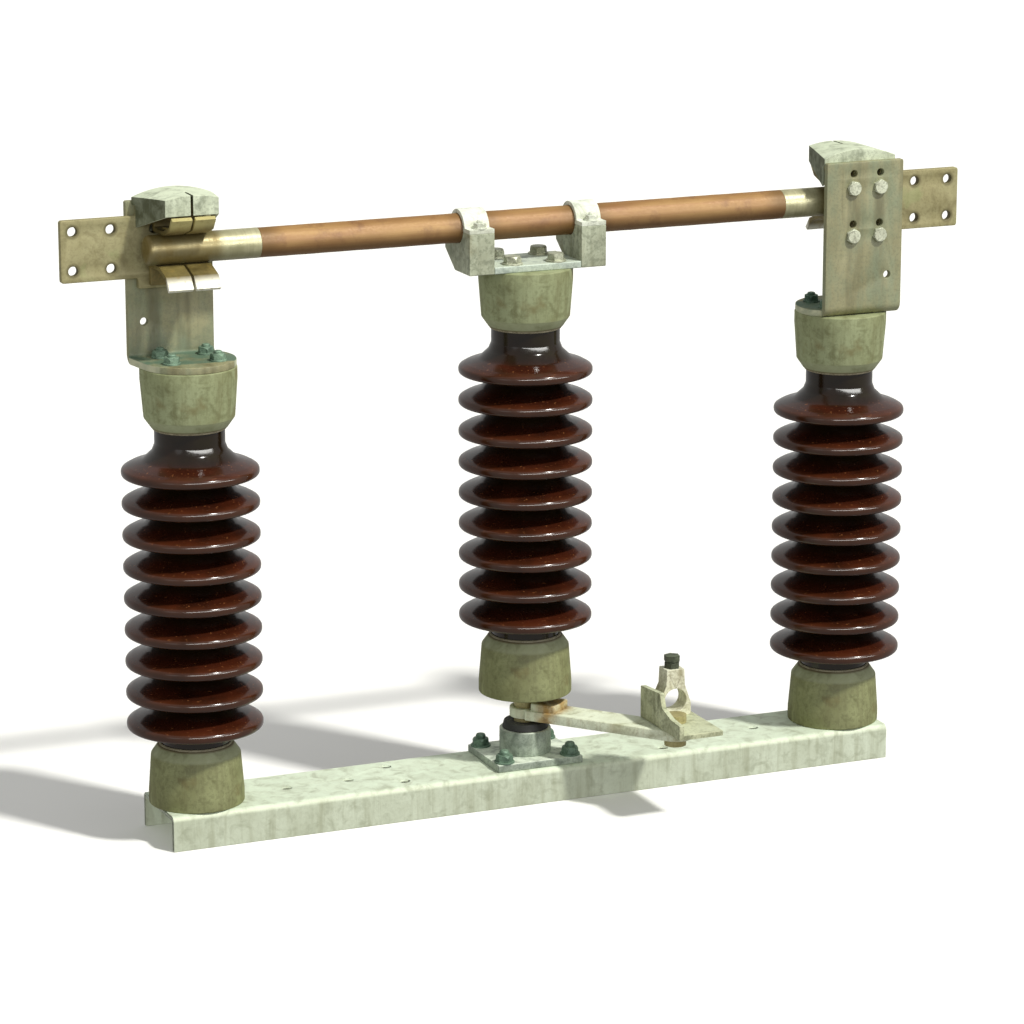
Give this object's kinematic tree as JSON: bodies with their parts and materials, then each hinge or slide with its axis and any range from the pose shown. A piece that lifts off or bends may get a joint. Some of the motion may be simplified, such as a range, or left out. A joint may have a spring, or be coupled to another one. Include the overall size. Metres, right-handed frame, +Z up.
{
  "type": "substation disconnect switch",
  "caption": "Centre-rotating double-break disconnect switch pole: a copper tube blade on a turning post insulator between jaws on outer posts, on a steel channel.",
  "frame": {"origin": "on the turning insulator's axis, at the top face of the base channel's web, centre of the four inner fixing holes", "axes": "+X along the base channel to the right-hand contact, +Z up along the rotor's axis and out of the web's top; -Y is the side of the operating lever"},
  "size_m": [1.094, 0.2804, 0.747],
  "materials": {
    "galvanised_channel": "weathered hot-dip galvanising with water stains",
    "galvanised_plate": "dull galvanised plate with dirt streaks",
    "galvanised_bright": "pale galvanised fittings",
    "cast_cap": "dull galvanised casting, stained",
    "bearing_steel": "painted or galvanised housing, weathered",
    "seal_rubber": "matt black rubber",
    "porcelain": "glossy chocolate-brown glaze",
    "contact_pad": "tarnished tinned copper alloy",
    "contact_finger": "tarnished copper alloy",
    "hood_sheet": "pale galvanised sheet",
    "shaft_steel": "greasy machined steel",
    "lever_steel": "galvanised bar with rust at the hub",
    "clamp_steel": "dark weathered steel",
    "eye_casting": "pale cast eye with dirt",
    "bolt_steel": "dark weathered bolt",
    "copper_tube": "weathered copper, orange-brown",
    "tinned_copper": "tinned copper, silvery olive"
  },
  "bodies": {
    "base": {"base_channel": "galvanised_channel", "bearing_plate": "galvanised_plate", "bearing_housing": "bearing_steel", "bearing_seal": "seal_rubber", "left_bottom_cap": "cast_cap", "left_porcelain": "porcelain", "left_top_cap": "cast_cap", "right_bottom_cap": "cast_cap", "right_porcelain": "porcelain", "right_top_cap": "cast_cap", "left_contact_bracket": "galvanised_plate", "right_contact_bracket": "galvanised_plate", "left_terminal_pad": "contact_pad", "right_terminal_pad": "contact_pad", "left_upper_fingers": "contact_finger", "right_upper_fingers": "contact_finger", "left_lower_fingers": "contact_finger", "right_lower_fingers": "contact_finger", "left_contact_hood": "hood_sheet", "right_contact_hood": "hood_sheet"},
    "rotor": {"rotor_shaft": "shaft_steel", "operating_lever": "lever_steel", "lever_pin": "shaft_steel", "centre_bottom_cap": "cast_cap", "centre_porcelain": "porcelain", "centre_top_cap": "cast_cap", "blade_bracket": "galvanised_bright", "left_tube_saddle": "galvanised_bright", "right_tube_saddle": "galvanised_bright", "left_tube_strap": "galvanised_bright", "right_tube_strap": "galvanised_bright", "blade_tube": "copper_tube", "left_blade_tip": "tinned_copper", "right_blade_tip": "tinned_copper"},
    "pipe_clamp": {"clamp_bracket": "clamp_steel", "pipe_eye": "eye_casting", "eye_bolt": "bolt_steel"}
  },
  "joints": [
    {"name": "blade_rotation", "type": "hinge", "parent": "base", "child": "rotor", "pos_m": [0, 0, 0], "axis": [0, 0, 1], "range_deg": [0, 90]},
    {"name": "clamp_swivel", "type": "hinge", "parent": "rotor", "child": "pipe_clamp", "pos_m": [0.12534, -0.14938, 0.052], "axis": [0, 0, 1], "range_deg": [-110, 20]}
  ]
}
